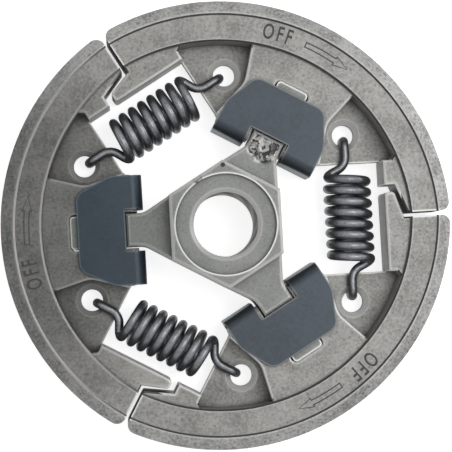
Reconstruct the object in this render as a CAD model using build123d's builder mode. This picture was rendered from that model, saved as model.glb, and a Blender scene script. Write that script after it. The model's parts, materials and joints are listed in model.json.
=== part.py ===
from build123d import *
import os
from math import cos, pi, radians, sin, sqrt

# Centrifugal clutch with three sliding shoes, in millimetres.
# The back plane is z = 0, the bore's axis is Z, and the wrench hexagon faces +Z.
# The clutch is drawn at rest, with its shoes pulled in against the ends of the carrier's arms.
# Each arm, shoe and retainer is drawn along +X and then turned to its place.

# Layout
shoe_count = 3
first_arm_angle = 60
drum_radius = 39.9
shoe_travel = 1.4

# Friction rim of a shoe
rim_width = 12.5
rim_thickness = 7.0
rim_gap = 0.75
rim_front_bevel = 1.9
rim_front_bevel_height = 1.3
rim_lip = 0.3
rim_back_bevel = 0.8
rim_corner = 1.6

# Web of a shoe, between the rim and the carrier
end_land_width = 4.2
slot_to_rim = 4.9
slot_corner = 0.8
block_corner = 1.5
edge_break = 0.3

# Tongue at one end of a shoe and the neighbour's recess that takes it
tongue_reach = 4.05
tongue_taper = 1.5
tongue_corner = 0.6
tongue_root_step = 1.1
tongue_side_gap = 0.7
tongue_tip_gap = 1.3

# Spring pockets and hook holes
pocket_web = 2.9
pocket_corner = 1.0
pocket_boundary_angle = 16
pocket_boundary_radius = 3.6
hook_hole_radius = 1.9
hook_hole_countersink = 0.9
hook_hole_inset = 5.0

# Tension spring
wire_diameter = 1.56
coil_diameter = 8.5
coil_turns = 7.5
coil_pitch = 1.93
coil_lift_angle = 33
hook_clearance = 0.15
hook_bend_radius = 1.3
hook_crest_radius = 1.1
hook_sweep_radius = 2.6
hook_sweep_length = 2.2
hook_tail = 2.5
bay_side_clearance = 1.75
bay_end_clearance = 1.6
wire_sides = 6
steps_per_turn = 8
steps_per_bend = 3

# Retainer, a folded sheet
sheet = 0.9
retainer_hub_gap = 4.4
retainer_setback = 1.3
retainer_hole_margin = 0.4
retainer_inset = 0.2
retainer_bend_radius = 1.0
retainer_corner_length = 6.0
retainer_corner_width = 2.9
retainer_corner_radius = 2.2
retainer_shoulder_radius = 4.0
retainer_notch_depth = 3.2
retainer_shoe_clearance = 0.15

# Carrier
hexagon_across_flats = 19.0
hexagon_rise = 4.5
hexagon_chamfer = 0.4
bore_diameter = 11.0
bore_chamfer = 0.6
recess_diameter = 17.2
recess_depth = 0.9
neck_width = 5.7
neck_inset = 0.3
neck_fillet = 3.0
arm_chamfer = 0.4
arm_tip_radius = 0.6

# Running clearances
arm_side_clearance = 0.25
arm_face_clearance = 0.1
arm_rest_gap = 0.02
notch_end_clearance = 0.2
notch_clearance = 0.75

# Sizes that follow from the ones above
sector = 360 / shoe_count
half_sector = sector / 2
rim_inner_radius = drum_radius - rim_thickness
arc_centre = (-shoe_travel, 0)
mid_height = rim_width / 2
land_step = sheet + retainer_inset
land_front = rim_width - land_step
land_back = land_step

coil_radius = (coil_diameter - wire_diameter) / 2
coil_half_length = coil_turns * coil_pitch / 2
bay_half_length = coil_half_length + wire_diameter / 2 + bay_end_clearance
rim_wall_distance = rim_inner_radius - shoe_travel * cos(radians(half_sector))
bay_side_distance = rim_wall_distance - end_land_width
spring_distance = bay_side_distance - bay_side_clearance - coil_diameter / 2
hook_hole_offset = bay_half_length + hook_hole_inset
pocket_front = mid_height - wire_diameter / 2 - hook_clearance
pocket_back = pocket_front - pocket_web

slot_end = rim_inner_radius - shoe_travel - slot_to_rim
slot_width = neck_width + 2 * arm_side_clearance
retainer_outer = slot_end - retainer_setback
retainer_inner = hexagon_across_flats / 2 + retainer_hub_gap
retainer_length = retainer_outer - retainer_inner
retainer_notch_end = retainer_inner + retainer_notch_depth
block_inner = retainer_inner + sheet + retainer_shoe_clearance

hexagon_height = rim_width + hexagon_rise
wire_section_radius = wire_diameter / 2 * sqrt(2 * pi / (wire_sides * sin(2 * pi / wire_sides)))


def beside_spring(across, along, side=1):
    """A point by its distance out across a spring's axis and along it past the gap between two shoes."""
    turn = radians(half_sector)
    x = across * cos(turn) - along * sin(turn)
    y = across * sin(turn) + along * cos(turn)
    return Vector(x, side * y)


hook_hole = beside_spring(spring_distance, -hook_hole_offset)
retainer_half_width = hook_hole.Y - hook_hole_radius - retainer_hole_margin
block_half_width = retainer_half_width + retainer_shoe_clearance


def block_outline():
    """The part of the web that the retainer clasps, seen from the front."""
    with BuildSketch() as outline:
        with Locations((block_inner, 0)):
            Rectangle(slot_end - block_inner, 2 * block_half_width, align=(Align.MIN, Align.CENTER))
        fillet(outline.vertices().group_by(Axis.X)[0], block_corner)
    return outline.sketch


def web_outline():
    """The web seen from the front: inner block, bays for the springs, end lands, tongue and recess."""
    block = block_outline()
    far = 2 * drum_radius
    bay_walls_meet = bay_half_length / sin(radians(half_sector))
    tongue_root = rim_wall_distance - tongue_root_step
    tongue_tip = tongue_root - tongue_taper
    recess_end = -(tongue_reach + tongue_tip_gap)
    recess_slope = tongue_taper / tongue_reach
    recess_root = tongue_root + tongue_side_gap
    recess_floor = recess_root + recess_end * recess_slope
    with BuildSketch() as outline:
        with BuildLine():
            Polyline(
                (bay_walls_meet, 0),
                beside_spring(bay_side_distance, -bay_half_length),
                beside_spring(bay_side_distance, tongue_reach),
                beside_spring(tongue_tip, tongue_reach),
                beside_spring(tongue_root, -rim_gap / 2),
                beside_spring(far, -rim_gap / 2),
                beside_spring(far, -rim_gap / 2, side=-1),
                beside_spring(recess_root, -rim_gap / 2, side=-1),
                beside_spring(recess_floor, recess_end, side=-1),
                beside_spring(bay_side_distance, recess_end, side=-1),
                beside_spring(bay_side_distance, -bay_half_length, side=-1),
                close=True,
            )
        make_face()
        tip_corners = [beside_spring(across, tongue_reach) for across in (bay_side_distance, tongue_tip)]
        fillet([nearest_vertex(outline, corner) for corner in tip_corners], tongue_corner)
        with Locations((block_inner, 0)):
            Rectangle(block_inner, 2 * hook_hole.Y, align=(Align.MAX, Align.CENTER), mode=Mode.SUBTRACT)
        add(block)
        with Locations(arc_centre):
            Circle(rim_inner_radius + rim_thickness / 2, mode=Mode.INTERSECT)
    return outline.sketch


def nearest_vertex(sketch, point):
    """The corner of a sketch that lies at a point."""
    return sketch.vertices().sort_by_distance(Vector(*point))[0]


def pocket_outline(side):
    """One spring pocket seen from the front: open to its bay, closed by the rim and the retainer's land."""
    hole = Vector(hook_hole.X, side * hook_hole.Y)
    slope = radians(pocket_boundary_angle)
    corner = hook_hole - Vector(0, pocket_boundary_radius / cos(slope))
    turn = radians(half_sector)
    corner_to_bay = corner.X * sin(turn) - corner.Y * cos(turn) - bay_half_length
    run = corner_to_bay / (cos(slope) * sin(turn) + sin(slope) * cos(turn))
    mouth = corner + Vector(-cos(slope), sin(slope)) * run
    shoulder = corner + Vector(cos(slope), sin(slope)) * drum_radius
    rim_corner_point = beside_spring(drum_radius, -bay_half_length)
    with BuildSketch() as outline:
        with BuildLine():
            Polyline(
                (mouth.X, side * mouth.Y),
                (corner.X, side * corner.Y),
                (shoulder.X, side * shoulder.Y),
                (rim_corner_point.X, side * rim_corner_point.Y),
                close=True,
            )
        make_face()
        fillet(nearest_vertex(outline, (corner.X, side * corner.Y)), pocket_boundary_radius)
        with Locations(arc_centre):
            Circle(rim_inner_radius, mode=Mode.INTERSECT)
        chamfer(outline.vertices().sort_by_distance(hole)[-1], pocket_corner)
    return outline.sketch


def rim_outline():
    """The friction rim seen from the front, between the two gaps to its neighbours."""
    with BuildSketch() as outline:
        with BuildLine():
            Polyline(
                beside_spring(rim_inner_radius / 2, -rim_gap / 2),
                beside_spring(rim_inner_radius / 2, -rim_gap / 2, side=-1),
                beside_spring(2 * drum_radius, -rim_gap / 2, side=-1),
                beside_spring(2 * drum_radius, -rim_gap / 2),
                close=True,
            )
        make_face()
        with Locations(arc_centre):
            Circle(drum_radius, mode=Mode.INTERSECT)
            Circle(rim_inner_radius, mode=Mode.SUBTRACT)
        outer_corners = outline.vertices().sort_by_distance(Vector(*arc_centre))[-2:]
        fillet(outer_corners, rim_corner)
    return outline.sketch


def on_rim_wall(edge):
    """Whether an edge runs along the rim's inner wall."""
    return edge.geom_type == GeomType.CIRCLE and abs(edge.radius - rim_inner_radius) < rim_thickness / 100


def takes_edge_break(edge):
    """Whether a land's edge is a free one, clear of the rim's wall and of the retainer's bends."""
    middle = edge.center()
    near_block = abs(middle.Y) < block_half_width + block_corner
    near_bend = near_block and middle.X < block_inner + 2 * retainer_bend_radius
    return not on_rim_wall(edge) and not near_bend


def make_rim():
    """The friction rim along +X, bevelled at both edges of its friction face, with a lip round its front."""
    outline = rim_outline()
    outer = drum_radius - shoe_travel
    front = rim_width
    lip_edge = outer - rim_front_bevel - edge_break
    with BuildPart() as rim:
        with BuildSketch():
            add(outline)
        extrude(amount=rim_width)
        with BuildSketch(Plane.XZ):
            with BuildLine():
                Polyline(
                    (outer - 2 * rim_front_bevel, front + rim_front_bevel_height),
                    (outer + rim_front_bevel, front + rim_front_bevel_height),
                    (outer + rim_front_bevel, front - 2 * rim_front_bevel_height),
                    close=True,
                )
            make_face()
            with BuildLine():
                Polyline(
                    (outer - 2 * rim_back_bevel, -rim_back_bevel),
                    (outer + rim_back_bevel, -rim_back_bevel),
                    (outer + rim_back_bevel, 2 * rim_back_bevel),
                    close=True,
                )
            make_face()
            with BuildLine():
                Polyline(
                    (outer - 2 * rim_thickness, front - rim_lip),
                    (lip_edge - rim_lip, front - rim_lip),
                    (lip_edge, front),
                    (lip_edge, front + rim_lip),
                    (outer - 2 * rim_thickness, front + rim_lip),
                    close=True,
                )
            make_face()
        revolve(axis=Axis((-shoe_travel, 0, 0), (0, 0, 1)), mode=Mode.SUBTRACT)
        chamfer(rim.edges().filter_by(on_rim_wall).sort_by(Axis.Z)[-1], edge_break)
    return rim.part


def make_web():
    """The web along +X, bevelled where it sits in the retainer's bends."""
    outline = web_outline()
    bevel = retainer_bend_radius
    with BuildPart() as web:
        with BuildSketch(Plane.XY.offset(land_back)):
            add(outline)
        extrude(amount=land_front - land_back)
        with BuildSketch(Plane.XZ):
            for height, inwards in ((land_front, -bevel), (land_back, bevel)):
                with BuildLine():
                    Polyline(
                        (block_inner + 2 * bevel, height - inwards),
                        (block_inner - bevel, height + 2 * inwards),
                        (block_inner - bevel, height - inwards),
                        close=True,
                    )
                make_face()
        extrude(amount=block_half_width + block_corner, both=True, mode=Mode.SUBTRACT)
    return web.part


def make_shoe():
    """A shoe along +X: friction rim, web, pockets, hook holes and the slot for its arm."""
    rim = make_rim()
    web = make_web()
    pockets = [pocket_outline(side) for side in (1, -1)]
    slot_length = slot_end - block_inner + slot_corner
    holes = [(hook_hole.X, side * hook_hole.Y, pocket_front) for side in (1, -1)]
    countersink_radius = hook_hole_radius + hook_hole_countersink
    with BuildPart() as shoe:
        add(rim)
        add(web)
        with BuildSketch(Plane.XY.offset(pocket_front)):
            add(pockets)
        extrude(amount=rim_width, mode=Mode.SUBTRACT)
        with BuildSketch(Plane.XY.offset(pocket_back)):
            add(pockets)
        extrude(amount=-rim_width, mode=Mode.SUBTRACT)
        with BuildSketch() as slot:
            with Locations((slot_end, 0)):
                Rectangle(slot_length, slot_width, align=(Align.MAX, Align.CENTER))
            fillet(slot.vertices().group_by(Axis.X)[-1], slot_corner)
        extrude(amount=rim_width, mode=Mode.SUBTRACT)
        flat_faces = shoe.faces().filter_by(Plane.XY)
        front_lands = flat_faces.filter_by_position(Axis.Z, land_front - edge_break, land_front + edge_break)
        chamfer(front_lands.edges().filter_by(takes_edge_break), edge_break)
        with Locations(*holes):
            CounterSinkHole(hook_hole_radius, countersink_radius, pocket_web, 90)
    return shoe.part


def make_retainer():
    """A retainer along +X: a sheet folded to a U, its closed side to the hub, notched for the arm's neck."""
    notch_width = neck_width + 2 * notch_clearance
    height = land_front - land_back + 2 * sheet
    shoulder = retainer_outer - retainer_corner_length
    end_half_width = retainer_half_width - retainer_corner_width
    corner_radii = [retainer_shoulder_radius, retainer_corner_radius]
    corner_radii += reversed(corner_radii)
    with BuildPart() as retainer:
        with BuildSketch(Plane.XZ) as section:
            with Locations((retainer_inner, land_back - sheet)):
                Rectangle(retainer_length, height, align=(Align.MIN, Align.MIN))
            fillet(section.vertices().group_by(Axis.X)[0], retainer_bend_radius + sheet)
            with Locations((retainer_inner + sheet, land_back)):
                Rectangle(
                    retainer_length,
                    land_front - land_back,
                    align=(Align.MIN, Align.MIN),
                    mode=Mode.SUBTRACT,
                )
            inner_corners = [(retainer_inner + sheet, land_back), (retainer_inner + sheet, land_front)]
            fillet([nearest_vertex(section, corner) for corner in inner_corners], retainer_bend_radius)
        extrude(amount=retainer_half_width, both=True)
        with BuildSketch() as plate:
            with BuildLine():
                FilletPolyline(
                    (retainer_inner, -retainer_half_width),
                    (shoulder, -retainer_half_width),
                    (retainer_outer, -end_half_width),
                    (retainer_outer, end_half_width),
                    (shoulder, retainer_half_width),
                    (retainer_inner, retainer_half_width),
                    radius=corner_radii,
                )
                Line((retainer_inner, retainer_half_width), (retainer_inner, -retainer_half_width))
            make_face()
        extrude(amount=rim_width, mode=Mode.INTERSECT)
        with BuildSketch() as notch:
            with Locations((retainer_notch_end, 0)):
                Rectangle(2 * retainer_notch_depth, notch_width, align=(Align.MAX, Align.CENTER))
        extrude(amount=rim_width, mode=Mode.SUBTRACT)
    return retainer.part


def make_carrier():
    """The hexagon hub with its arms: flared necks and thinner ends that run in the shoes' slots."""
    flat = hexagon_across_flats / 2
    half_side = flat * sin(pi / 6) / cos(pi / 6)
    neck_start = retainer_inner
    neck_end = retainer_notch_end - notch_end_clearance
    tip = slot_end - arm_rest_gap
    neck_height = rim_width - 2 * neck_inset
    tip_height = land_front - land_back - 2 * arm_face_clearance
    with BuildSketch() as neck:
        with BuildLine():
            Polyline(
                (0, -half_side),
                (flat, -half_side),
                (neck_start, -neck_width / 2),
                (neck_end, -neck_width / 2),
                (neck_end, neck_width / 2),
                (neck_start, neck_width / 2),
                (flat, half_side),
                (0, half_side),
                close=True,
            )
        make_face()
        flare_ends = [(neck_start, -neck_width / 2), (neck_start, neck_width / 2)]
        fillet([nearest_vertex(neck, end) for end in flare_ends], neck_fillet)
    with BuildSketch() as arm_end:
        with Locations((tip, 0)):
            Rectangle(tip - flat, neck_width, align=(Align.MAX, Align.CENTER))
        fillet(arm_end.vertices().group_by(Axis.X)[-1], arm_tip_radius)
    with BuildPart() as carrier:
        with BuildSketch(Plane.XY.offset(neck_inset)):
            with PolarLocations(0, shoe_count, start_angle=first_arm_angle):
                add(neck.sketch)
        extrude(amount=neck_height)
        neck_faces = carrier.faces().filter_by(Plane.XY)
        chamfer(neck_faces.edges(), arm_chamfer)
        with BuildSketch(Plane.XY.offset(land_back + arm_face_clearance)):
            with PolarLocations(0, shoe_count, start_angle=first_arm_angle):
                add(arm_end.sketch)
        extrude(amount=tip_height)
        with BuildSketch():
            RegularPolygon(flat, 6, major_radius=False, rotation=first_arm_angle + 30)
        extrude(amount=hexagon_height)
        hexagon_faces = carrier.faces().filter_by(Plane.XY)
        chamfer(hexagon_faces.sort_by(Axis.Z)[-1].edges(), hexagon_chamfer)
        with Locations((0, 0, hexagon_height)):
            CounterBoreHole(bore_diameter / 2, recess_diameter / 2, recess_depth)
        recess_floor = carrier.faces().filter_by(Plane.XY).group_by(Axis.Z)[-2][0]
        chamfer(recess_floor.edges().sort_by(SortBy.RADIUS)[0], bore_chamfer)
    return carrier.part


def at_spring(across, along, height):
    """A point by its place from a spring's middle: outwards, along its axis and up."""
    return beside_spring(spring_distance + across, along) + Vector(0, 0, mid_height + height)


def coil_point(angle):
    """A point of the coil, a left-handed helix, by its angle from the coil's first end."""
    along = coil_pitch * angle / (2 * pi) - coil_half_length
    return at_spring(coil_radius * cos(angle), along, coil_radius * sin(angle))


def coil_direction(angle):
    """The direction in which the coil runs on at an angle."""
    ahead = at_spring(-coil_radius * sin(angle), coil_pitch / (2 * pi), coil_radius * cos(angle))
    return (ahead - at_spring(0, 0, 0)).normalized()


def hook_points(coil_end, ahead, out):
    """Points along a hook, from the coil's end to the tail under the shoe's web."""
    centre = at_spring(0, 0, 0)
    down = Vector(0, 0, -1)
    crest = coil_end + ahead * ((coil_end.Z - mid_height) / ahead.dot(down))
    sweep_end = centre + out * ((coil_end - centre).dot(out) + hook_sweep_length)
    wire_in_hole = hook_hole_radius - wire_diameter / 2 - hook_clearance
    bend = centre + out * (hook_hole_offset - wire_in_hole)
    tail_bend = bend + down * (mid_height - pocket_back + hook_clearance + wire_diameter / 2)
    tail = tail_bend - out * hook_tail
    bends = [hook_crest_radius, hook_sweep_radius, hook_bend_radius, hook_bend_radius]
    with BuildLine() as hook:
        FilletPolyline(coil_end, crest, sweep_end, bend, tail_bend, tail, radius=bends)
    points = []
    for edge in hook.edges().sort_by(hook.wire()):
        steps = 1 if edge.geom_type == GeomType.LINE else steps_per_bend
        points += [edge @ (step / steps) for step in range(1, steps + 1)]
    return points


def make_spring():
    """The tension spring past the shoe along +X: a wire with a coil and a hook at each end."""
    first = radians(coil_lift_angle)
    last = 2 * pi * coil_turns - first
    steps = round(coil_turns * steps_per_turn)
    coil = [coil_point(first + (last - first) * step / steps) for step in range(steps + 1)]
    out = at_spring(0, 1, 0) - at_spring(0, 0, 0)
    first_hook = hook_points(coil[0], -coil_direction(first), -out)
    last_hook = hook_points(coil[-1], coil_direction(last), out)
    points = first_hook[::-1] + coil + last_hook
    with BuildPart() as spring:
        with BuildLine() as path:
            Polyline(*points)
        with BuildSketch(Plane(points[0], z_dir=points[1] - points[0])):
            RegularPolygon(wire_section_radius, wire_sides)
        sweep(path=path.wire(), transition=Transition.RIGHT)
    return spring.part


os.makedirs("parts", exist_ok=True)

carrier = make_carrier()
carrier.label = "carrier"
export_step(carrier, "parts/carrier.step")

patterns = {"shoe": make_shoe(), "retainer": make_retainer(), "spring": make_spring()}
for number in range(shoe_count):
    arm_angle = first_arm_angle + number * sector
    for name, pattern in patterns.items():
        piece = pattern.rotate(Axis.Z, arm_angle)
        piece.label = f"{name}_{number + 1}"
        export_step(piece, f"parts/{piece.label}.step")
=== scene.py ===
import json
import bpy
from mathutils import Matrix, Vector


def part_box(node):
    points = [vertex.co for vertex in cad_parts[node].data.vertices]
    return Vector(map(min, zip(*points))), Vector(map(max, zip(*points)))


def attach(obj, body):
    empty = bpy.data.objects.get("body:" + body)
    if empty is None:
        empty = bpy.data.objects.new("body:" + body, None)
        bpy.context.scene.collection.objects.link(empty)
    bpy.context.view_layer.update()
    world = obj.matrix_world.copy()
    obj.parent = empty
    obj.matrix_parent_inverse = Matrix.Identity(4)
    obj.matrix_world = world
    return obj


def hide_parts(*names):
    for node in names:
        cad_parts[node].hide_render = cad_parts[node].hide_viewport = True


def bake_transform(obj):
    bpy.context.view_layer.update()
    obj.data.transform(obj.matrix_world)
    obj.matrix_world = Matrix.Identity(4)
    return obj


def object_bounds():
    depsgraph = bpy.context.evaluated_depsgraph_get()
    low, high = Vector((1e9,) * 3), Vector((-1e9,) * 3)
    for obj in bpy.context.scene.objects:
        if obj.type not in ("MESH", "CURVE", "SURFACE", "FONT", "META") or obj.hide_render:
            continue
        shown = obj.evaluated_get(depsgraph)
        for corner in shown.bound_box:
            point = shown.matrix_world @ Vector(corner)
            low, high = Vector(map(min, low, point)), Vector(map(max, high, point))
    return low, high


bl_info = {
    "name": "Centrifugal clutch",
    "version": (1, 0, 0),
    "blender": (4, 5, 0),
    "location": "View3D > Sidebar > Clutch",
    "description": "Dresses a centrifugal clutch with sliding shoes and sets it on a studio stage",
    "category": "Object",
}

from math import cos, pi, radians, sin, tan

import bmesh
import bpy
from bpy.props import FloatProperty, FloatVectorProperty, IntProperty, PointerProperty, StringProperty
from mathutils import Matrix, Vector, noise

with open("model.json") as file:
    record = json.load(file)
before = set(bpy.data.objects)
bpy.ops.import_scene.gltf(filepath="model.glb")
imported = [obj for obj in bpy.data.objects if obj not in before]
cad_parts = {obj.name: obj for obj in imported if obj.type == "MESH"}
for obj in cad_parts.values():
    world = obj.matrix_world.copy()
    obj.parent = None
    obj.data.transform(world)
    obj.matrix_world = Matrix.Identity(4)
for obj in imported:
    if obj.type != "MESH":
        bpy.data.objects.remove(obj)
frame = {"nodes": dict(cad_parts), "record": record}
cad_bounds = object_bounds()

MM = 0.001
SHOES = (1, 2, 3)
FIRST_ARM = 60
ARM_ANGLES = {shoe: radians(FIRST_ARM + 360 / len(SHOES) * (shoe - 1)) for shoe in SHOES}
SPRING_FROM_ARM = radians(180 / len(SHOES))
MOUNTS = {mount["name"]: mount for mount in frame["record"]["mounts"]}
THREAD = MOUNTS["crank_thread"]["dims"]
SHOE_LOW, SHOE_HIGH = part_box("shoe_2")
CARRIER_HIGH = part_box("carrier")[1]

# Distance below which corners of a mesh are one, and how far a mark stands off its face
MERGE_DISTANCE = 0.002 * MM
MARK_LIFT = 0.004 * MM

# Radius from which a slanted face belongs to a shoe's rim
RIM_FROM = 31.0 * MM

# The battered patch on the first arm, and the scuff and the dimple on the hexagon
PATCH_DISTANCE = 15.1 * MM
PATCH_HEIGHT = 12.2 * MM
PATCH_REACH = 3.3 * MM
PATCH_CELL = 0.2 * MM
PATCH_DEPTH = 0.7 * MM
SCUFF_PLACE = (-4.4 * MM, 7.9 * MM)
SCUFF_REACH = 0.85 * MM
DIMPLE_PLACE = (0.0, 10.1 * MM)
DIMPLE_REACH = 0.42 * MM

SOFTBOXES = {
    "Key softbox": {"place": (0.11, 0.02, 0.3), "size": 0.15, "power": 0.3},
    "Top softbox": {"place": (0.0, 0.1, 0.6), "size": 0.5, "power": 0.35},
    "Side softbox": {"place": (0.42, 0.13, 0.16), "size": 0.2, "power": 0.42},
}
SENSOR_WIDTH = 36.0


class ClutchThread(bpy.types.PropertyGroup):
    """Sizes of the thread in the hub's bore."""

    radius: FloatProperty(
        name="Crest radius",
        description="Radius of the bore at the thread's crests",
        default=THREAD["r_mm"] * MM,
        unit="LENGTH",
    )
    length: FloatProperty(
        name="Length",
        description="Length of the threaded wall",
        default=THREAD["length_mm"] * MM,
        unit="LENGTH",
    )
    pitch: FloatProperty(
        name="Pitch",
        description="Distance from one crest to the next",
        default=1.0 * MM,
        unit="LENGTH",
    )
    depth: FloatProperty(
        name="Depth",
        description="Depth of the grooves below the crests",
        default=0.5 * MM,
        unit="LENGTH",
    )


class ClutchSpring(bpy.types.PropertyGroup):
    """Sizes of a tension spring."""

    wire: FloatProperty(
        name="Wire",
        description="Diameter of the wire",
        default=1.56 * MM,
        unit="LENGTH",
    )
    coil: FloatProperty(
        name="Coil",
        description="Outer diameter of the coil",
        default=8.5 * MM,
        unit="LENGTH",
    )
    turns: FloatProperty(
        name="Turns",
        description="Turns of the coil from hook to hook",
        default=7.5,
    )
    pitch: FloatProperty(
        name="Pitch",
        description="Distance from one turn to the next",
        default=1.93 * MM,
        unit="LENGTH",
    )
    lift: FloatProperty(
        name="Lift",
        description="Angle at each end of the coil where the wire leaves for the hook",
        default=radians(33),
        subtype="ANGLE",
    )
    distance: FloatProperty(
        name="Distance",
        description="Distance of the spring's axis from the bore's axis",
        default=22.0 * MM,
        unit="LENGTH",
    )
    hook_reach: FloatProperty(
        name="Hook reach",
        description="Distance from the spring's middle to the wire where it turns down into the hole",
        default=13.65 * MM,
        unit="LENGTH",
    )
    hook_drop: FloatProperty(
        name="Hook drop",
        description="Distance from the spring's axis down to the hook's tail",
        default=4.76 * MM,
        unit="LENGTH",
    )
    hook_tail: FloatProperty(
        name="Hook tail",
        description="Length of the tail under the shoe's web",
        default=2.5 * MM,
        unit="LENGTH",
    )
    sides: IntProperty(
        name="Sides",
        description="Sides of the wire's round section",
        default=14,
    )


class ClutchMark(bpy.types.PropertyGroup):
    """Place and size of the release mark on each shoe's rim."""

    word: StringProperty(
        name="Word",
        description="Word beside the arrow",
        default="OFF",
    )
    word_size: FloatProperty(
        name="Word size",
        description="Size of the word's letters",
        default=3.75 * MM,
        unit="LENGTH",
    )
    word_squeeze: FloatProperty(
        name="Word squeeze",
        description="How narrow the word's letters are",
        default=0.66,
        subtype="FACTOR",
    )
    word_spacing: FloatProperty(
        name="Word spacing",
        description="Distance between the word's letters, where 1 is the font's own",
        default=1.35,
    )
    word_weight: FloatProperty(
        name="Word weight",
        description="How much thicker the letters are than the font's own",
        default=0.05 * MM,
        unit="LENGTH",
    )
    radius: FloatProperty(
        name="Radius",
        description="Distance of the mark from the bore's axis",
        default=34.05 * MM,
        unit="LENGTH",
    )
    word_angle: FloatProperty(
        name="Word angle",
        description="Angle of the word's middle from the shoe's arm",
        default=radians(11.3),
        subtype="ANGLE",
    )
    arrow_angle: FloatProperty(
        name="Arrow angle",
        description="Angle of the arrow's middle from the shoe's arm",
        default=radians(-4.5),
        subtype="ANGLE",
    )
    arrow_length: FloatProperty(
        name="Arrow length",
        description="Length of the arrow",
        default=8.6 * MM,
        unit="LENGTH",
    )
    arrow_point: FloatProperty(
        name="Arrow point",
        description="Length of the arrow's head as a share of the arrow's length",
        default=0.33,
        subtype="FACTOR",
    )
    arrow_shaft: FloatProperty(
        name="Arrow shaft",
        description="Half the shaft's width as a share of the arrow's length",
        default=0.062,
        subtype="FACTOR",
    )
    arrow_head: FloatProperty(
        name="Arrow head",
        description="Half the head's width as a share of the arrow's length",
        default=0.108,
        subtype="FACTOR",
    )
    depth: FloatProperty(
        name="Depth",
        description="Depth of the rim's face below the top of its lip",
        default=0.3 * MM,
        unit="LENGTH",
    )
    groove: FloatProperty(
        name="Groove",
        description="Width of the arrow's engraved line",
        default=0.3 * MM,
        unit="LENGTH",
    )


class ClutchFinish(bpy.types.PropertyGroup):
    """Colours of the metals, and of the painted highlights and painted shade on them."""

    shoe: FloatVectorProperty(
        name="Shoe",
        description="Sintered steel of the shoes",
        default=(0.215, 0.213, 0.202),
        subtype="COLOR",
        size=3,
    )
    carrier: FloatVectorProperty(
        name="Carrier",
        description="Sintered steel of the hub and its arms",
        default=(0.182, 0.187, 0.179),
        subtype="COLOR",
        size=3,
    )
    retainer: FloatVectorProperty(
        name="Retainer",
        description="Blued sheet of the retainers",
        default=(0.034, 0.044, 0.054),
        subtype="COLOR",
        size=3,
    )
    spring: FloatVectorProperty(
        name="Spring",
        description="Dark oiled wire of the springs",
        default=(0.17, 0.175, 0.186),
        subtype="COLOR",
        size=3,
    )
    # Edges are brightened, partly as rubbing and partly as painted highlight.
    edge_width: FloatProperty(
        name="Edge width",
        description="Width of the rubbed line along the sintered steel's edges",
        default=0.42 * MM,
        unit="LENGTH",
    )
    # Painted shade: corners darken, found by occlusion.
    corner_shade_reach: FloatProperty(
        name="Shade reach",
        description="How far dirt reaches out of corners",
        default=1.6 * MM,
        unit="LENGTH",
    )
    # Painted shadow: the metals darken towards one side of the clutch, where less light falls.
    tarnish: FloatProperty(
        name="Shadow",
        description="How dark the tarnished side of the clutch is",
        default=0.54,
        subtype="FACTOR",
    )
    shadow_place: FloatVectorProperty(
        name="Tarnish place",
        description="Where the tarnish is darkest",
        default=(-0.043, 0.0, 0.011),
        subtype="TRANSLATION",
        size=3,
    )
    shadow_reach: FloatProperty(
        name="Tarnish reach",
        description="Distance at which the tarnish has faded out",
        default=44.0 * MM,
        unit="LENGTH",
    )
    # Bright colour of bare metal at edges, also used for the painted highlights on slanted faces and in
    # holes.
    bright_metal_and_highlight: FloatVectorProperty(
        name="Bright edge",
        description="Bare metal on rubbed edges",
        default=(0.72, 0.715, 0.7),
        subtype="COLOR",
        size=3,
    )


class ClutchStage(bpy.types.PropertyGroup):
    """Camera and floor of the studio."""

    camera_place: FloatVectorProperty(
        name="Camera place",
        description="Where the camera stands",
        default=(-0.0165, -0.00733, 0.36),
        subtype="TRANSLATION",
        size=3,
    )
    camera_target: FloatVectorProperty(
        name="Camera target",
        description="What the camera looks at",
        default=(0.00025, -0.00019, 0.01),
        subtype="TRANSLATION",
        size=3,
    )
    camera_roll: FloatProperty(
        name="Camera roll",
        description="Turn of the camera about its own axis",
        default=radians(3.32),
        subtype="ANGLE",
    )
    camera_lens: FloatProperty(
        name="Camera lens",
        description="Focal length in millimetres",
        default=161.4,
    )
    floor_size: FloatProperty(
        name="Floor size",
        description="Length of the floor's side",
        default=4.0,
        unit="LENGTH",
    )
    floor_glow: FloatProperty(
        name="Floor glow",
        description="How white the floor shows to the camera and in reflections",
        default=0.78,
        subtype="FACTOR",
    )
    room_light: FloatProperty(
        name="Room light",
        description="How strongly the pale room lights the clutch",
        default=0.4,
        subtype="FACTOR",
    )


def joined(tree, source, target):
    """Links two sockets of a node tree."""
    tree.links.new(source, target)


def new_group(name, kind, inputs, outputs):
    """A node group with its named sockets, and its input and output nodes."""
    group = bpy.data.node_groups.new(name, kind)
    for title, socket in inputs.items():
        group.interface.new_socket(name=title, in_out="INPUT", socket_type=socket)
    for title, socket in outputs.items():
        group.interface.new_socket(name=title, in_out="OUTPUT", socket_type=socket)
    return group, group.nodes.new("NodeGroupInput"), group.nodes.new("NodeGroupOutput")


def math_node(tree, operation, first, second=None):
    """A math node whose inputs are sockets or numbers, and its result."""
    node = tree.nodes.new("ShaderNodeMath")
    node.operation = operation
    for place, value in enumerate((first, second)):
        if value is None:
            continue
        if isinstance(value, (int, float)):
            node.inputs[place].default_value = value
        else:
            joined(tree, value, node.inputs[place])
    return node.outputs[0]


def scaled(tree, value, amount):
    """A value times an amount, each a socket or a number."""
    return math_node(tree, "MULTIPLY", value, amount)


def ranged(tree, value, start, end, to_start=0.0, to_end=1.0):
    """A value mapped smoothly from one range to another."""
    node = tree.nodes.new("ShaderNodeMapRange")
    node.interpolation_type = "SMOOTHSTEP"
    joined(tree, value, node.inputs["Value"])
    node.inputs["From Min"].default_value = start
    node.inputs["From Max"].default_value = end
    node.inputs["To Min"].default_value = to_start
    node.inputs["To Max"].default_value = to_end
    return node.outputs["Result"]


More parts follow.
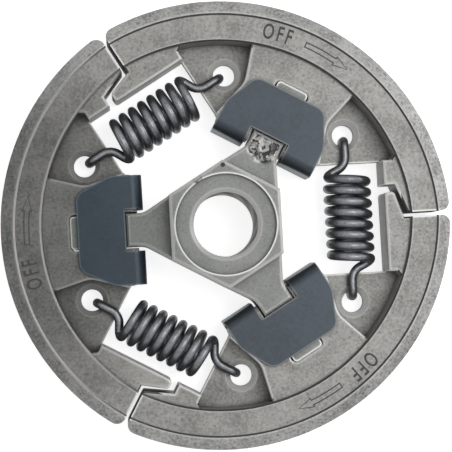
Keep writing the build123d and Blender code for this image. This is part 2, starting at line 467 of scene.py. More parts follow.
def mixed(tree, factor, first, second):
    """Two colours mixed by a factor; a colour is a socket or three numbers."""
    node = tree.nodes.new("ShaderNodeMix")
    node.data_type = "RGBA"
    joined(tree, factor, node.inputs["Factor"])
    colour_inputs = [socket for socket in node.inputs if socket.type == "RGBA"]
    for socket, colour in zip(colour_inputs, (first, second)):
        if isinstance(colour, bpy.types.NodeSocket):
            joined(tree, colour, socket)
        else:
            socket.default_value = (*colour, 1.0)
    return next(socket for socket in node.outputs if socket.type == "RGBA")


def shaded(colour, amount):
    """A colour made lighter or darker."""
    return tuple(channel * amount for channel in colour)


def clamped(value):
    """A value kept between nought and one."""
    return min(1.0, max(0.0, value))


def sintered_grain_group():
    """The grain of pressed and sintered metal: a tone that varies, pores and a height for bumps."""
    inputs = {"Grain": "NodeSocketFloat", "Pores": "NodeSocketFloat"}
    outputs = {"Tone": "NodeSocketFloat", "Height": "NodeSocketFloat"}
    fine_share, pit_shade, pit_depth = 0.62, 0.82, 0.35
    group, given, result = new_group("Sintered grain", "ShaderNodeTree", inputs, outputs)
    place = group.nodes.new("ShaderNodeTexCoord").outputs["Object"]
    fine = group.nodes.new("ShaderNodeTexNoise")
    fine.inputs["Detail"].default_value = 5.0
    fine.inputs["Roughness"].default_value = 0.65
    joined(group, place, fine.inputs["Vector"])
    joined(group, given.outputs["Grain"], fine.inputs["Scale"])
    broad = group.nodes.new("ShaderNodeTexNoise")
    broad.inputs["Scale"].default_value = 210.0
    broad.inputs["Detail"].default_value = 4.0
    joined(group, place, broad.inputs["Vector"])
    pore = group.nodes.new("ShaderNodeTexVoronoi")
    joined(group, place, pore.inputs["Vector"])
    joined(group, given.outputs["Pores"], pore.inputs["Scale"])
    pit = ranged(group, pore.outputs["Distance"], start=0.12, end=0.3)
    fine_tone = scaled(group, fine.outputs["Fac"], fine_share)
    broad_tone = scaled(group, broad.outputs["Fac"], 1.0 - fine_share)
    tone = math_node(group, "ADD", fine_tone, broad_tone)
    pitted = scaled(group, tone, ranged(group, pit, 0.0, 1.0, to_start=pit_shade))
    height = math_node(group, "ADD", fine.outputs["Fac"], scaled(group, pit, pit_depth))
    joined(group, ranged(group, pitted, start=0.3, end=0.66), result.inputs["Tone"])
    joined(group, height, result.inputs["Height"])
    return group


def edge_wear_and_shade_group():
    """Where edges brighten, partly as rubbing and partly as painted highlight, and where corners take
    painted shade found by occlusion.
    """
    inputs = {"Width": "NodeSocketFloat", "Reach": "NodeSocketFloat"}
    outputs = {"Edge": "NodeSocketFloat", "Corner": "NodeSocketFloat"}
    group, given, result = new_group("Rubbed edges", "ShaderNodeTree", inputs, outputs)
    inside = group.nodes.new("ShaderNodeAmbientOcclusion")
    inside.inside = True
    inside.only_local = True
    inside.samples = 8
    joined(group, given.outputs["Width"], inside.inputs["Distance"])
    outside = group.nodes.new("ShaderNodeAmbientOcclusion")
    outside.samples = 8
    joined(group, given.outputs["Reach"], outside.inputs["Distance"])
    edge = ranged(group, inside.outputs["AO"], start=0.97, end=0.7)
    corner = ranged(group, outside.outputs["AO"], start=0.8, end=0.36)
    joined(group, edge, result.inputs["Edge"])
    joined(group, corner, result.inputs["Corner"])
    return group


def slanted_faces_group():
    """Masks of slanted faces for painted light: the rim's outward ones, its inward-facing ones, and those
    of holes.
    """
    inputs = {"Rim": "NodeSocketFloat"}
    outputs = {"Highlit": "NodeSocketFloat", "Shaded_walls": "NodeSocketFloat", "Holes": "NodeSocketFloat"}
    group, given, result = new_group("Slanted faces", "ShaderNodeTree", inputs, outputs)
    place = group.nodes.new("ShaderNodeTexCoord")
    facing = group.nodes.new("ShaderNodeSeparateXYZ")
    joined(group, place.outputs["Normal"], facing.inputs["Vector"])
    rise = math_node(group, "ABSOLUTE", facing.outputs["Z"])
    off_wall = ranged(group, rise, start=0.35, end=0.5)
    level_face = ranged(group, rise, start=0.88, end=0.95)
    slanted = math_node(group, "SUBTRACT", off_wall, level_face)
    level = group.nodes.new("ShaderNodeVectorMath")
    level.operation = "MULTIPLY"
    level.inputs[1].default_value = (1.0, 1.0, 0.0)
    joined(group, place.outputs["Object"], level.inputs[0])
    reach = group.nodes.new("ShaderNodeVectorMath")
    reach.operation = "LENGTH"
    joined(group, level.outputs["Vector"], reach.inputs[0])
    outwards = group.nodes.new("ShaderNodeVectorMath")
    outwards.operation = "DOT_PRODUCT"
    joined(group, level.outputs["Vector"], outwards.inputs[0])
    joined(group, place.outputs["Normal"], outwards.inputs[1])
    inward = math_node(group, "LESS_THAN", outwards.outputs["Value"], 0.0)
    on_rim = math_node(group, "GREATER_THAN", reach.outputs["Value"], given.outputs["Rim"])
    of_rim = scaled(group, slanted, on_rim)
    shaded_walls = scaled(group, of_rim, inward)
    joined(group, math_node(group, "SUBTRACT", of_rim, shaded_walls), result.inputs["Highlit"])
    joined(group, shaded_walls, result.inputs["Shaded_walls"])
    joined(group, math_node(group, "SUBTRACT", slanted, of_rim), result.inputs["Holes"])
    return group


def shared_groups():
    """The node groups that the metals share, built once."""
    if "Sintered grain" not in bpy.data.node_groups:
        sintered_grain_group()
        edge_wear_and_shade_group()
        slanted_faces_group()
    return {
        "grain": bpy.data.node_groups["Sintered grain"],
        "edges": bpy.data.node_groups["Rubbed edges"],
        "slopes": bpy.data.node_groups["Slanted faces"],
    }


def placed_group(tree, group, **values):
    """A node group placed in a material, with its inputs set."""
    node = tree.nodes.new("ShaderNodeGroup")
    node.node_tree = group
    for title, value in values.items():
        node.inputs[title].default_value = value
    return node


def new_material(name, metallic, roughness):
    """An empty metal, its node tree and its shader."""
    material = bpy.data.materials.new(name)
    material.use_nodes = True
    shader = material.node_tree.nodes["Principled BSDF"]
    shader.inputs["Metallic"].default_value = metallic
    shader.inputs["Roughness"].default_value = roughness
    return material, material.node_tree, shader


def eased_normal(tree, shader, height, strength, distance, round_by):
    """Gives a shader a bumpy normal with its edges eased."""
    eased = tree.nodes.new("ShaderNodeBevel")
    eased.samples = 4
    eased.inputs["Radius"].default_value = round_by
    bump = tree.nodes.new("ShaderNodeBump")
    bump.inputs["Strength"].default_value = strength
    bump.inputs["Distance"].default_value = distance
    joined(tree, height, bump.inputs["Height"])
    joined(tree, eased.outputs["Normal"], bump.inputs["Normal"])
    joined(tree, bump.outputs["Normal"], shader.inputs["Normal"])


def near_point(tree, point, full, faded):
    """One near a point of the piece, up to a distance, and nought from a farther one on."""
    place = tree.nodes.new("ShaderNodeTexCoord").outputs["Object"]
    gap = tree.nodes.new("ShaderNodeVectorMath")
    gap.operation = "DISTANCE"
    joined(tree, place, gap.inputs[0])
    gap.inputs[1].default_value = point
    return ranged(tree, gap.outputs["Value"], start=faded, end=full)


def shadow_mask(tree, finish):
    """One on the side of the clutch that is painted in shadow."""
    reach = finish.shadow_reach
    return near_point(tree, finish.shadow_place, full=0.4 * reach, faded=reach)


def shadowed(tree, colour, finish, shadow_tint):
    """A colour darkened towards a given colour by a painted shadow on one side of the clutch."""
    film = tree.nodes.new("ShaderNodeMix")
    film.data_type = "RGBA"
    film.blend_type = "MULTIPLY"
    joined(tree, shadow_mask(tree, finish), film.inputs["Factor"])
    first, second = [socket for socket in film.inputs if socket.type == "RGBA"]
    joined(tree, colour, first)
    second.default_value = (*shaded(shadow_tint, 1.0 - finish.tarnish), 1.0)
    return next(socket for socket in film.outputs if socket.type == "RGBA")


def scarred(tree, surface, height, point, size, hollow, ridge):
    """A surface's colour and height with a beaten scar at a point."""
    relief = 9.0
    scar = near_point(tree, point, full=0.75 * size, faded=1.05 * size)
    dents = placed_group(tree, shared_groups()["grain"], Grain=480.0, Pores=360.0)
    ridges = ranged(tree, dents.outputs["Tone"], start=0.52, end=1.0)
    beaten = mixed(tree, ridges, hollow, ridge)
    dented = scaled(tree, scaled(tree, dents.outputs["Height"], relief), scar)
    return mixed(tree, scar, surface, beaten), math_node(tree, "ADD", height, dented)


def sintered_material(name, colour, finish, grain, contrast, shadow_tint, hole_highlight, scars=()):
    """Grey sintered steel, scarred at some points, with bright edges that are partly rubbing and partly
    painted highlight, painted shade in corners, painted highlights on the rim's slanted faces and in
    holes, a painted line of shade or light on the rim's inward walls, and a painted shadow on one side.
    """
    edge_wear_and_highlight, slope_highlight, corner_shade = 0.85, 0.9, 0.6
    pores = 0.42 * grain
    material, tree, shader = new_material(name, metallic=0.5, roughness=0.5)
    groups = shared_groups()
    bright = finish.bright_metal_and_highlight
    texture = placed_group(tree, groups["grain"], Grain=grain, Pores=pores)
    wear_and_shade = placed_group(tree, groups["edges"], Width=finish.edge_width, Reach=finish.corner_shade_reach)
    slopes = placed_group(tree, groups["slopes"], Rim=RIM_FROM)
    tone, height = texture.outputs["Tone"], texture.outputs["Height"]
    surface = mixed(tree, tone, shaded(colour, 1.0 - contrast), shaded(colour, 1.0 + contrast))
    # Edges brightened, partly as rubbing and partly as painted highlight.
    worn_and_highlit = mixed(tree, scaled(tree, wear_and_shade.outputs["Edge"], edge_wear_and_highlight), surface, bright)
    for point, size in scars:
        worn_and_highlit, height = scarred(tree, worn_and_highlit, height, point, size, shaded(colour, 0.1), shaded(bright, 0.75))
    # Painted shade in corners, found by occlusion.
    corner_shaded = mixed(tree, scaled(tree, wear_and_shade.outputs["Corner"], corner_shade), worn_and_highlit, shaded(colour, 0.12))
    # Painted highlight, streaked by the grain, on the rim's outward slanted faces.
    streaked_highlight = mixed(tree, tone, shaded(bright, 0.2), shaded(bright, 0.66))
    worn_and_lit = mixed(tree, scaled(tree, slopes.outputs["Highlit"], slope_highlight), corner_shaded, streaked_highlight)
    # Painted highlight in the slanted faces of holes.
    holes_highlit = mixed(tree, scaled(tree, slopes.outputs["Holes"], slope_highlight), worn_and_lit, shaded(bright, hole_highlight))
    # A painted line on the rim's inward slanted walls: shade, and light on the side in painted shadow.
    line = mixed(tree, shadow_mask(tree, finish), shaded(colour, 0.28), shaded(bright, 1.2))
    lined = mixed(tree, slopes.outputs["Shaded_walls"], holes_highlit, line)
    # Painted shadow darkening one side of the clutch.
    joined(tree, shadowed(tree, lined, finish, shadow_tint), shader.inputs["Base Color"])
    eased_normal(tree, shader, height, strength=0.32, distance=0.06 * MM, round_by=0.16 * MM)
    return material


def blued_material(finish):
    """Dark blued sheet with faintly bright edges, partly rubbing and partly painted highlight, painted
    shade in corners and a painted shadow on one side.
    """
    edge_wear_and_highlight, corner_shade, shadow_tint = 0.16, 0.6, (0.95, 1.3, 1.5)
    material, tree, shader = new_material("Blued sheet", metallic=0.5, roughness=0.42)
    groups = shared_groups()
    colour = finish.retainer
    texture = placed_group(tree, groups["grain"], Grain=1500.0, Pores=900.0)
    wear_and_shade = placed_group(tree, groups["edges"], Width=0.3 * MM, Reach=finish.corner_shade_reach)
    surface = mixed(tree, texture.outputs["Tone"], shaded(colour, 0.86), shaded(colour, 1.16))
    # Edges faintly brightened, partly as rubbing and partly as painted highlight.
    worn_and_highlit = mixed(tree, scaled(tree, wear_and_shade.outputs["Edge"], edge_wear_and_highlight), surface, finish.bright_metal_and_highlight)
    # Painted shade in corners, found by occlusion.
    corner_shaded = mixed(tree, scaled(tree, wear_and_shade.outputs["Corner"], corner_shade), worn_and_highlit, shaded(colour, 0.2))
    # Painted shadow darkening one side of the clutch.
    joined(tree, shadowed(tree, corner_shaded, finish, shadow_tint), shader.inputs["Base Color"])
    eased_normal(
        tree,
        shader,
        texture.outputs["Height"],
        strength=0.1,
        distance=0.02 * MM,
        round_by=0.14 * MM,
    )
    return material


def wire_material(colour):
    """Dark oiled spring wire with a soft gloss and painted shade in the crevices between its turns."""
    corner_shade = 0.8
    material, tree, shader = new_material("Spring wire", metallic=0.85, roughness=0.38)
    groups = shared_groups()
    texture = placed_group(tree, groups["grain"], Grain=2200.0, Pores=1200.0)
    wear_and_shade = placed_group(tree, groups["edges"], Width=0.2 * MM, Reach=1.2 * MM)
    surface = mixed(tree, texture.outputs["Tone"], shaded(colour, 0.7), shaded(colour, 1.35))
    # Painted shade in the wire's crevices, found by occlusion.
    corner_shaded = mixed(tree, scaled(tree, wear_and_shade.outputs["Corner"], corner_shade), surface, shaded(colour, 0.2))
    joined(tree, corner_shaded, shader.inputs["Base Color"])
    return material


def groove_material(colour):
    """Painted shade for an engraved line: a flat dark colour in place of the groove's shaded floor."""
    material, _, shader = new_material("Engraved line", metallic=0.3, roughness=0.7)
    # Painted shade: the mark is a flat sheet on the rim's face, darkened as a groove in shadow would be.
    shader.inputs["Base Color"].default_value = (*shaded(colour, 0.24), 1.0)
    return material


def finished(name, mesh, material, body):
    """An object of the clutch made from a mesh that is in its place, riding on a body."""
    piece = bpy.data.objects.new(name, mesh)
    bpy.context.scene.collection.objects.link(piece)
    mesh.materials.clear()
    mesh.materials.append(material)
    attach(piece, body)
    return piece


def dressed(node, material):
    """Gives a solid of the frame its material."""
    piece = frame["nodes"][node]
    piece.data.materials.clear()
    piece.data.materials.append(material)
    return piece


def plain_mesh(maker, name):
    """The evaluated result of an object as a mesh of its own; the object is removed."""
    depsgraph = bpy.context.evaluated_depsgraph_get()
    mesh = bpy.data.meshes.new_from_object(maker.evaluated_get(depsgraph), depsgraph=depsgraph)
    mesh.name = name
    bpy.data.objects.remove(maker)
    return mesh


def set_input(modifier, title, value):
    """Sets an input of a geometry modifier by its socket's identifier."""
    for item in modifier.node_group.interface.items_tree:
        if item.item_type == "SOCKET" and item.in_out == "INPUT" and item.name == title:
            modifier[item.identifier] = value
            return
    raise KeyError(f"{modifier.node_group.name} has no input {title}")


def grown(name, seed_mesh, group, **values):
    """A plain mesh grown from a seed mesh by a geometry node group."""
    maker = bpy.data.objects.new(name, seed_mesh)
    bpy.context.scene.collection.objects.link(maker)
    modifier = maker.modifiers.new(name, "NODES")
    modifier.node_group = group
    for title, value in values.items():
        set_input(modifier, title, value)
    return plain_mesh(maker, name)


def end_of_tree(group, given, result, mesh):
    """Closes a geometry tree with smooth shading, realized instances and the material."""
    smooth = group.nodes.new("GeometryNodeSetShadeSmooth")
    joined(group, mesh, smooth.inputs["Geometry"])
    realized = group.nodes.new("GeometryNodeRealizeInstances")
    joined(group, smooth.outputs["Geometry"], realized.inputs["Geometry"])
    coated = group.nodes.new("GeometryNodeSetMaterial")
    joined(group, realized.outputs["Geometry"], coated.inputs["Geometry"])
    joined(group, given.outputs["Material"], coated.inputs["Material"])
    joined(group, coated.outputs["Geometry"], result.inputs["Geometry"])


def thread_group():
    """Geometry nodes that cut a left-handed thread into a bore's wall."""
    inputs = {
        "Geometry": "NodeSocketGeometry",
        "Radius": "NodeSocketFloat",
        "Length": "NodeSocketFloat",
        "Pitch": "NodeSocketFloat",
        "Depth": "NodeSocketFloat",
        "Material": "NodeSocketMaterial",
    }
    outputs = {"Geometry": "NodeSocketGeometry"}
    group, given, result = new_group("Bore thread", "GeometryNodeTree", inputs, outputs)
    wall = group.nodes.new("GeometryNodeMeshCylinder")
    wall.fill_type = "NONE"
    wall.inputs["Vertices"].default_value = 72
    wall.inputs["Side Segments"].default_value = 156
    joined(group, given.outputs["Radius"], wall.inputs["Radius"])
    joined(group, given.outputs["Length"], wall.inputs["Depth"])
    place = group.nodes.new("GeometryNodeInputPosition").outputs["Position"]
    split = group.nodes.new("ShaderNodeSeparateXYZ")
    joined(group, place, split.inputs["Vector"])
    angle = math_node(group, "ARCTAN2", split.outputs["Y"], split.outputs["X"])
    turn = math_node(group, "DIVIDE", angle, 2 * pi)
    rise = math_node(group, "DIVIDE", split.outputs["Z"], given.outputs["Pitch"])
    phase = math_node(group, "ADD", rise, turn)
    groove = scaled(group, math_node(group, "PINGPONG", phase, 0.5), 2.0)
    half = scaled(group, given.outputs["Length"], 0.5)
    from_end = math_node(group, "SUBTRACT", half, math_node(group, "ABSOLUTE", split.outputs["Z"]))
    turns_in = math_node(group, "DIVIDE", from_end, given.outputs["Pitch"])
    fade = math_node(group, "MINIMUM", scaled(group, turns_in, 2.0), 1.0)
    cut = scaled(group, scaled(group, groove, fade), given.outputs["Depth"])
    outwards = group.nodes.new("ShaderNodeCombineXYZ")
    joined(group, scaled(group, math_node(group, "COSINE", angle), cut), outwards.inputs["X"])
    joined(group, scaled(group, math_node(group, "SINE", angle), cut), outwards.inputs["Y"])
    moved = group.nodes.new("GeometryNodeSetPosition")
    joined(group, wall.outputs["Mesh"], moved.inputs["Geometry"])
    joined(group, outwards.outputs["Vector"], moved.inputs["Offset"])
    turned = group.nodes.new("GeometryNodeFlipFaces")
    joined(group, moved.outputs["Geometry"], turned.inputs["Mesh"])
    end_of_tree(group, given, result, turned.outputs["Mesh"])
    return group


def wire_group():
    """Geometry nodes that lay a round wire along a path."""
    inputs = {
        "Geometry": "NodeSocketGeometry",
        "Wire": "NodeSocketFloat",
        "Sides": "NodeSocketInt",
        "Material": "NodeSocketMaterial",
    }
    outputs = {"Geometry": "NodeSocketGeometry"}
    group, given, result = new_group("Spring wire", "GeometryNodeTree", inputs, outputs)
    path = group.nodes.new("GeometryNodeMeshToCurve")
    joined(group, given.outputs["Geometry"], path.inputs["Mesh"])
    section = group.nodes.new("GeometryNodeCurvePrimitiveCircle")
    joined(group, given.outputs["Sides"], section.inputs["Resolution"])
    joined(group, math_node(group, "DIVIDE", given.outputs["Wire"], 2.0), section.inputs["Radius"])
    wire = group.nodes.new("GeometryNodeCurveToMesh")
    wire.inputs["Fill Caps"].default_value = True
    joined(group, path.outputs["Curve"], wire.inputs["Curve"])
    joined(group, section.outputs["Curve"], wire.inputs["Profile Curve"])
    end_of_tree(group, given, result, wire.outputs["Mesh"])
    return group


def rounded_path(corners, radii, steps):
    """A path through corners, each inner one rounded to its radius."""
    path = [corners[0]]
    for before, corner, after, radius in zip(corners, corners[1:], corners[2:], radii):
        arriving = (corner - before).normalized()
        leaving = (after - corner).normalized()
        turn = arriving.angle(leaving)
        start = corner - arriving * radius * tan(turn / 2)
        centre = corner + (leaving - arriving).normalized() * (radius / cos(turn / 2))
        axis = arriving.cross(leaving).normalized()
        for step in range(steps + 1):
            spin = Matrix.Rotation(turn * step / steps, 3, axis)
            path.append(centre + spin @ (start - centre))
    path.append(corners[-1])
    return path


def spring_half_path(spring):
    """Half a spring's wire as across, along and height, from its middle to the tail of its first hook."""
    coil_steps, bend_steps = 104, 8
    neck = 2.2 * MM
    bends = (1.1 * MM, 2.6 * MM, 1.3 * MM, 1.3 * MM)
    radius = (spring.coil - spring.wire) / 2
    half_length = spring.turns * spring.pitch / 2
    end = pi * spring.turns
    coil = []
    for step in range(coil_steps + 1):
        angle = end + (spring.lift - end) * step / coil_steps
        along = spring.pitch * angle / (2 * pi) - half_length
        coil.append(Vector((radius * cos(angle), along, radius * sin(angle))))
    last = coil[-1]
    rise = -radius * cos(spring.lift)
    leaving = Vector((radius * sin(spring.lift), -spring.pitch / (2 * pi), rise)).normalized()
    corners = [
        last,
        last - leaving * (last.z / leaving.z),
        Vector((0, last.y - neck, 0)),
        Vector((0, -spring.hook_reach, 0)),
        Vector((0, -spring.hook_reach, -spring.hook_drop)),
        Vector((0, -spring.hook_reach + spring.hook_tail, -spring.hook_drop)),
    ]
    return coil + rounded_path(corners, bends, bend_steps)[1:]


def path_mesh(name, points):
    """A mesh of joined edges through points."""
    mesh = bpy.data.meshes.new(name)
    edges = [(place, place + 1) for place in range(len(points) - 1)]
    mesh.from_pydata(points, edges, [])
    return mesh


def flat_mark(mesh, angle, radius, height):
    """Bends a flat mark round the bore's axis: its x runs clockwise from an angle and its y outwards."""
    for vertex in mesh.vertices:
        turn = angle - vertex.co.x / radius
        out = radius + vertex.co.y
        vertex.co = (out * cos(turn), out * sin(turn), height + vertex.co.z)
    mesh.update()


class CLUTCH_OT_carrier(bpy.types.Operator):
    """Dress the hub and its arms and cut the thread"""

    bl_idname = "clutch.carrier"
    bl_label = "Carrier"

    def execute(self, context):
        scene = context.scene
        thread = scene.clutch_thread
        finish = scene.clutch_finish
        arm = ARM_ANGLES[1]
        patch = Vector((PATCH_DISTANCE * cos(arm), PATCH_DISTANCE * sin(arm), PATCH_HEIGHT))
        scars = (
            (patch, PATCH_REACH),
            (Vector((*SCUFF_PLACE, CARRIER_HIGH.z)), SCUFF_REACH),
            (Vector((*DIMPLE_PLACE, CARRIER_HIGH.z)), DIMPLE_REACH),
        )
        material = sintered_material(
            "Sintered hub",
            finish.carrier,
            finish,
            grain=2600.0,
            contrast=0.2,
            shadow_tint=(1.25, 1.3, 1.24),
            hole_highlight=0.8,
            scars=scars,
        )
        mesh = frame["nodes"]["carrier"].data.copy()
        mesh.name = "hub_and_arms"
        self.open_bore(mesh, thread.radius)
        self.batter(mesh, patch, PATCH_REACH)
        hub = finished("hub_and_arms", mesh, material, "carrier")
        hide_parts("carrier")
        seed = bpy.data.meshes.new("thread_seed")
        wall = grown(
            "bore_thread",
            seed,
            thread_group(),
            Radius=thread.radius,
            Length=thread.length,
            Pitch=thread.pitch,
            Depth=thread.depth,
            Material=material,
        )
        wall.transform(Matrix.Translation((0, 0, thread.length / 2)))
        finished("bore_thread", wall, material, "carrier")
        return {"FINISHED"}

    def open_bore(self, mesh, radius):
        """Takes the bore's plain wall out of the hub."""
        tolerance, upright = 0.03 * MM, 0.2
        shape = bmesh.new()
        shape.from_mesh(mesh)
        bmesh.ops.remove_doubles(shape, verts=shape.verts, dist=MERGE_DISTANCE)
        wall = []
        for face in shape.faces:
            distances = [vertex.co.xy.length for vertex in face.verts]
            on_wall = all(abs(distance - radius) < tolerance for distance in distances)
            if on_wall and abs(face.normal.z) < upright:
                wall.append(face)
        if not wall:
            raise RuntimeError("the hub has no bore wall to thread")
        bmesh.ops.delete(shape, geom=wall, context="FACES")
        shape.to_mesh(mesh)
        shape.free()

    def batter(self, mesh, point, reach):
        """Beats a rough patch into the front of an arm."""
        shape = bmesh.new()
        shape.from_mesh(mesh)
        cuts = round(reach / PATCH_CELL)
        for across in (Vector((1, 0, 0)), Vector((0, 1, 0))):
            for cut in range(-cuts, cuts + 1):
                front = [face for face in shape.faces if self.in_patch(face, point, reach)]
                edges = {edge for face in front for edge in face.edges}
                corners = {corner for face in front for corner in face.verts}
                bmesh.ops.bisect_plane(
                    shape,
                    geom=[*corners, *edges, *front],
                    dist=MERGE_DISTANCE,
                    plane_co=point + across * cut * PATCH_CELL,
                    plane_no=across,
                )
        front = {face for face in shape.faces if self.in_patch(face, point, reach)}
        if not front:
            raise RuntimeError("the arm has no front face to batter")
        for corner in shape.verts:
            if corner.link_faces and front.issuperset(corner.link_faces):
                corner.co.z -= self.dent(corner.co, point, reach)
        shape.to_mesh(mesh)
        shape.free()
        if "custom_normal" in mesh.attributes:
            mesh.attributes.remove(mesh.attributes["custom_normal"])
        mesh.shade_smooth()
        mesh.set_sharp_from_angle(angle=radians(28))

    def in_patch(self, face, point, reach):
        """Whether a face of the arm's front comes near the battered patch."""
        if face.normal.z < 0.99 or abs(face.verts[0].co.z - point.z) > 0.01 * MM:
            return False
        for axis in (0, 1):
            places = [corner.co[axis] for corner in face.verts]
            if min(places) > point[axis] + reach or max(places) < point[axis] - reach:
                return False
        return True

    def dent(self, place, point, reach):
        """How deep the battered patch is at a place."""
        fade = clamped(2.2 * (1.0 - (place - point).length / reach))
        broad = noise.noise(place * 620.0)
        fine = noise.noise(place * 1700.0)
        return PATCH_DEPTH * fade * clamped(0.45 + 1.2 * broad + 0.6 * fine)


class CLUTCH_OT_shoes(bpy.types.Operator):
    """Give the shoes their sintered steel"""

    bl_idname = "clutch.shoes"
    bl_label = "Shoes"

    def execute(self, context):
        finish = context.scene.clutch_finish
        material = sintered_material(
            "Sintered shoe",
            finish.shoe,
            finish,
            grain=2100.0,
            contrast=0.38,
            shadow_tint=(1.0, 1.0, 1.0),
            hole_highlight=1.2,
        )
        for shoe in SHOES:
            dressed(f"shoe_{shoe}", material)
        return {"FINISHED"}


class CLUTCH_OT_retainers(bpy.types.Operator):
    """Give the retainers their blued sheet"""

    bl_idname = "clutch.retainers"
    bl_label = "Retainers"

    def execute(self, context):
        finish = context.scene.clutch_finish
        material = blued_material(finish)
        for shoe in SHOES:
            dressed(f"retainer_{shoe}", material)
        return {"FINISHED"}


class CLUTCH_OT_springs(bpy.types.Operator):
    """Wind the springs from round wire and hook each half to its shoe"""

    bl_idname = "clutch.springs"
    bl_label = "Springs"

    def execute(self, context):
        scene = context.scene
        spring = scene.clutch_spring
        material = wire_material(scene.clutch_finish.spring)
        group = wire_group()
        half = spring_half_path(spring)
        middle = Vector((spring.distance, 0, (SHOE_LOW.z + SHOE_HIGH.z) / 2))
        for shoe in SHOES:
            next_shoe = shoe % len(SHOES) + 1
            spring_angle = ARM_ANGLES[shoe] + SPRING_FROM_ARM
            for end, half_turn in ((shoe, 0.0), (next_shoe, pi)):
                name = f"spring_{shoe}_to_shoe_{end}"
                place = (
                    Matrix.Rotation(spring_angle, 4, "Z")
                    @ Matrix.Translation(middle)
                    @ Matrix.Rotation(half_turn, 4, "Z")
                )
                points = [place @ point for point in half]
                mesh = grown(
                    name,
                    path_mesh(name, points),
                    group,
                    Wire=spring.wire,
                    Sides=spring.sides,
                    Material=material,
                )
                piece = bpy.data.objects.new(name, mesh)
                scene.collection.objects.link(piece)
                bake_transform(piece)
                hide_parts(f"spring_{shoe}")
        return {"FINISHED"}


class CLUTCH_OT_marks(bpy.types.Operator):
    """Lay the engraved release mark, a word and an arrow, on each shoe's rim as flat sheets in painted
    groove shade
    """

    bl_idname = "clutch.marks"
    bl_label = "Release marks"

    def execute(self, context):
        mark = context.scene.clutch_mark
        material = groove_material(context.scene.clutch_finish.shoe)
        height = SHOE_HIGH.z - mark.depth + MARK_LIFT
        for shoe in SHOES:
            arm = ARM_ANGLES[shoe]
            word = self.word_mesh(mark, f"mark_word_{shoe}")
            flat_mark(word, arm + mark.word_angle, mark.radius, height)
            finished(f"mark_word_{shoe}", word, material, f"shoe_{shoe}")
            arrow = self.arrow_mesh(mark, f"mark_arrow_{shoe}")
            flat_mark(arrow, arm + mark.arrow_angle, mark.radius, height)
            finished(f"mark_arrow_{shoe}", arrow, material, f"shoe_{shoe}")
        return {"FINISHED"}

    def word_mesh(self, mark, name):
        """The word as a flat mesh, centred."""
        text = bpy.data.curves.new(name, "FONT")
        text.body = mark.word
        text.size = mark.word_size
        text.align_x = "CENTER"
        text.align_y = "CENTER"
        text.space_character = mark.word_spacing
        text.resolution_u = 4
        text.offset = mark.word_weight
        maker = bpy.data.objects.new(name, text)
        bpy.context.scene.collection.objects.link(maker)
        bpy.context.view_layer.update()
        mesh = plain_mesh(maker, name)
        mesh.transform(Matrix.Diagonal((mark.word_squeeze, 1.0, 1.0, 1.0)))
        return mesh

    def arrow_mesh(self, mark, name):
        """The outline of an arrow as a thin line, its point at +x."""
        half = mark.arrow_length / 2
        neck = half - mark.arrow_point * mark.arrow_length
        shaft = mark.arrow_shaft * mark.arrow_length
        head = mark.arrow_head * mark.arrow_length
        outline = [
            (-half, -shaft),
            (neck, -shaft),
            (neck, -head),
            (half, 0),
            (neck, head),
            (neck, shaft),
            (-half, shaft),
        ]
        shape = bmesh.new()
        corners = [shape.verts.new((x, y, 0)) for x, y in outline]
        face = shape.faces.new(corners)
        shape.normal_update()
        bmesh.ops.inset_individual(shape, faces=[face], thickness=mark.groove)
        inner = max(shape.faces, key=lambda found: len(found.verts))
        bmesh.ops.delete(shape, geom=[inner], context="FACES_ONLY")
        bmesh.ops.subdivide_edges(shape, edges=shape.edges[:], cuts=3, use_grid_fill=True)
        mesh = bpy.data.meshes.new(name)
        shape.to_mesh(mesh)
        shape.free()
        return mesh


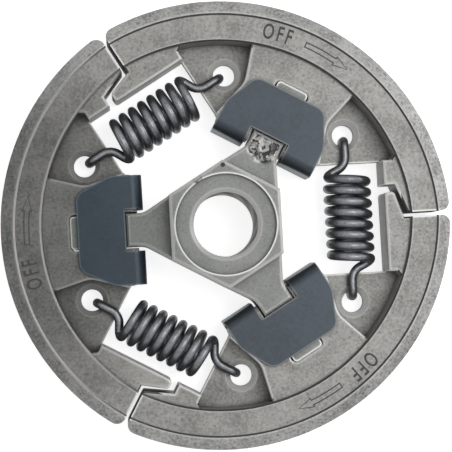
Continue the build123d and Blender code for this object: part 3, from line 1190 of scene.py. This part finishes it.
class CLUTCH_OT_stage(bpy.types.Operator):
    """Set the floor, the lights and the camera"""

    bl_idname = "clutch.stage"
    bl_label = "Stage"

    def execute(self, context):
        scene = context.scene
        stage = scene.clutch_stage
        scene.view_settings.view_transform = "Standard"
        self.floor(scene, stage)
        self.world(scene, stage)
        for name, softbox in SOFTBOXES.items():
            self.lamp(scene, name, **softbox)
        self.camera(scene, stage)
        return {"FINISHED"}

    def seen_directly(self, tree):
        """One for rays that come from the camera, a reflection or glass."""
        path = tree.nodes.new("ShaderNodeLightPath")
        seen = math_node(tree, "ADD", path.outputs["Is Camera Ray"], path.outputs["Is Glossy Ray"])
        seen = math_node(tree, "ADD", seen, path.outputs["Is Transmission Ray"])
        return math_node(tree, "MINIMUM", seen, 1.0)

    def floor(self, scene, stage):
        """A plain white floor under the clutch."""
        half = stage.floor_size / 2
        mesh = bpy.data.meshes.new("floor")
        corners = [(-half, -half, 0), (half, -half, 0), (half, half, 0), (-half, half, 0)]
        mesh.from_pydata(corners, [], [(0, 1, 2, 3)])
        floor = bpy.data.objects.new("floor", mesh)
        floor.location.z = cad_bounds[0].z
        scene.collection.objects.link(floor)
        material, tree, shader = new_material("White floor", metallic=0.0, roughness=0.9)
        shader.inputs["Base Color"].default_value = (0.8, 0.8, 0.8, 1.0)
        shader.inputs["Emission Color"].default_value = (1.0, 1.0, 1.0, 1.0)
        glow = scaled(tree, self.seen_directly(tree), stage.floor_glow)
        joined(tree, glow, shader.inputs["Emission Strength"])
        mesh.materials.append(material)

    def world(self, scene, stage):
        """A pale room that shows white behind the floor's edge."""
        world = bpy.data.worlds.new("Pale room")
        world.use_nodes = True
        scene.world = world
        tree = world.node_tree
        sky = tree.nodes["Background"]
        sky.inputs["Color"].default_value = (1.0, 1.0, 1.0, 1.0)
        strength = ranged(tree, self.seen_directly(tree), 0.0, 1.0, to_start=stage.room_light)
        joined(tree, strength, sky.inputs["Strength"])

    def lamp(self, scene, name, place, size, power):
        """A square softbox aimed at the clutch."""
        light = bpy.data.lights.new(name, "AREA")
        light.shape = "SQUARE"
        light.size = size
        light.energy = power
        lamp = bpy.data.objects.new(name, light)
        lamp.location = place
        lamp.rotation_mode = "QUATERNION"
        lamp.rotation_quaternion = (-Vector(place)).to_track_quat("-Z", "Y")
        scene.collection.objects.link(lamp)

    def camera(self, scene, stage):
        """The camera at the photograph's angle."""
        data = bpy.data.cameras.new("camera")
        data.sensor_width = SENSOR_WIDTH
        data.lens = stage.camera_lens
        data.clip_start = 0.01
        camera = bpy.data.objects.new("camera", data)
        place = Vector(stage.camera_place)
        ahead = (Vector(stage.camera_target) - place).normalized()
        upwards = Vector((sin(stage.camera_roll), cos(stage.camera_roll), 0))
        right = ahead.cross(upwards).normalized()
        above = right.cross(ahead)
        axes = Matrix((right, above, -ahead)).transposed()
        camera.matrix_world = Matrix.Translation(place) @ axes.to_4x4()
        scene.collection.objects.link(camera)
        scene.camera = camera


class CLUTCH_PT_panel(bpy.types.Panel):
    """Lists the clutch's pieces and their sizes"""

    bl_idname = "CLUTCH_PT_panel"
    bl_label = "Centrifugal clutch"
    bl_space_type = "VIEW_3D"
    bl_region_type = "UI"
    bl_category = "Clutch"

    def draw(self, context):
        layout = self.layout
        for operator in OPERATORS:
            layout.operator(operator.bl_idname)
        for settings in SETTINGS:
            column = layout.column(align=True)
            values = getattr(context.scene, settings)
            for title in values.__annotations__:
                column.prop(values, title)


SETTINGS = {
    "clutch_thread": ClutchThread,
    "clutch_spring": ClutchSpring,
    "clutch_mark": ClutchMark,
    "clutch_finish": ClutchFinish,
    "clutch_stage": ClutchStage,
}
OPERATORS = (
    CLUTCH_OT_carrier,
    CLUTCH_OT_shoes,
    CLUTCH_OT_retainers,
    CLUTCH_OT_springs,
    CLUTCH_OT_marks,
    CLUTCH_OT_stage,
)


def register():
    """Registers the settings, the operators and the panel."""
    for name, settings in SETTINGS.items():
        bpy.utils.register_class(settings)
        setattr(bpy.types.Scene, name, PointerProperty(type=settings))
    for operator in OPERATORS:
        bpy.utils.register_class(operator)
    bpy.utils.register_class(CLUTCH_PT_panel)


def unregister():
    """Takes out what register put in."""
    bpy.utils.unregister_class(CLUTCH_PT_panel)
    for operator in reversed(OPERATORS):
        bpy.utils.unregister_class(operator)
    for name, settings in reversed(SETTINGS.items()):
        delattr(bpy.types.Scene, name)
        bpy.utils.unregister_class(settings)


def main():
    """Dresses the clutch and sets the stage."""
    register()
    bpy.ops.clutch.carrier()
    bpy.ops.clutch.shoes()
    bpy.ops.clutch.retainers()
    bpy.ops.clutch.springs()
    bpy.ops.clutch.marks()
    bpy.ops.clutch.stage()


if __name__ == "__main__":
    main()
